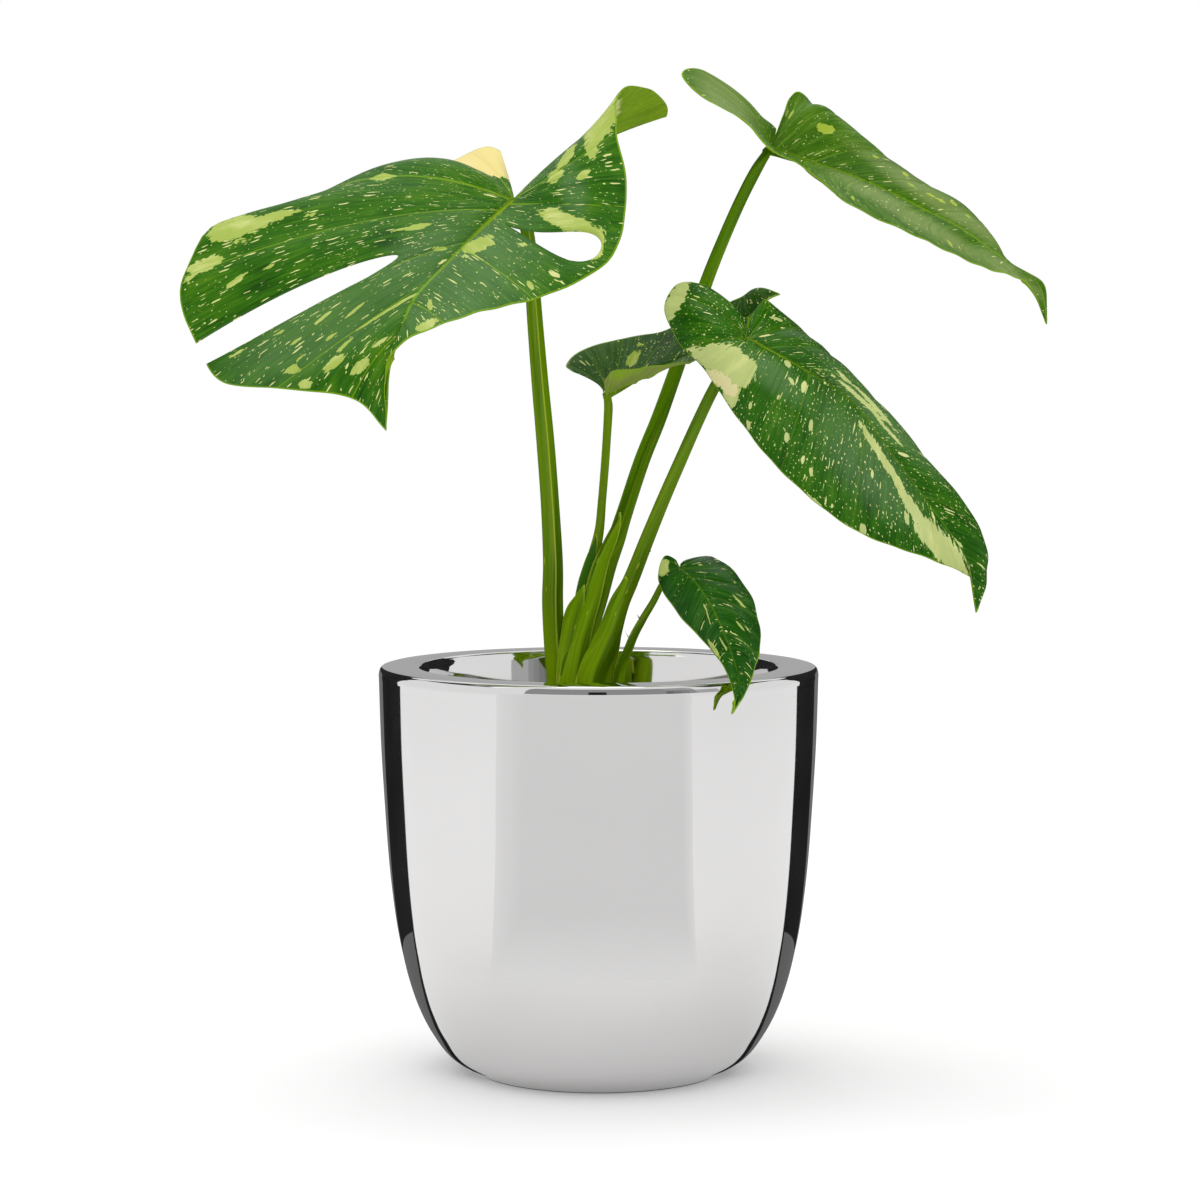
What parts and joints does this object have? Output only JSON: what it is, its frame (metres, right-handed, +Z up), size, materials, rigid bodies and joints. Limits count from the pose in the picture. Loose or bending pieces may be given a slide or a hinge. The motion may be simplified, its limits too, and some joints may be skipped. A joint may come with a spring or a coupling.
{
  "type": "potted thai constellation monstera",
  "caption": "Young variegated monstera with marbled green and cream leaves on fanned stalks, standing in a round polished steel planter.",
  "frame": {"origin": "on the planter's axis, at the surface it stands on", "axes": "+Z up, the front of the plant towards -Y, the big split leaf towards -X"},
  "size_m": [0.4289, 0.2243, 0.5054],
  "materials": {
    "steel": "mirror polished stainless steel",
    "liner": "matt black nursery plastic",
    "soil": "damp potting mix",
    "crown": "smooth scarred green stem",
    "stalk": "satin yellow-green stalk",
    "leaf": "glossy deep green blade splashed with cream"
  },
  "bodies": {
    "root": {"pot": "steel", "grow_pot": "liner", "soil": "soil", "crown": "crown", "petiole_a": "stalk", "petiole_b": "stalk", "petiole_c": "stalk", "petiole_d": "stalk", "petiole_e": "stalk", "leaf_a": "leaf", "leaf_b": "leaf", "leaf_c": "leaf", "leaf_d": "leaf", "leaf_e": "leaf"}
  },
  "joints": []
}
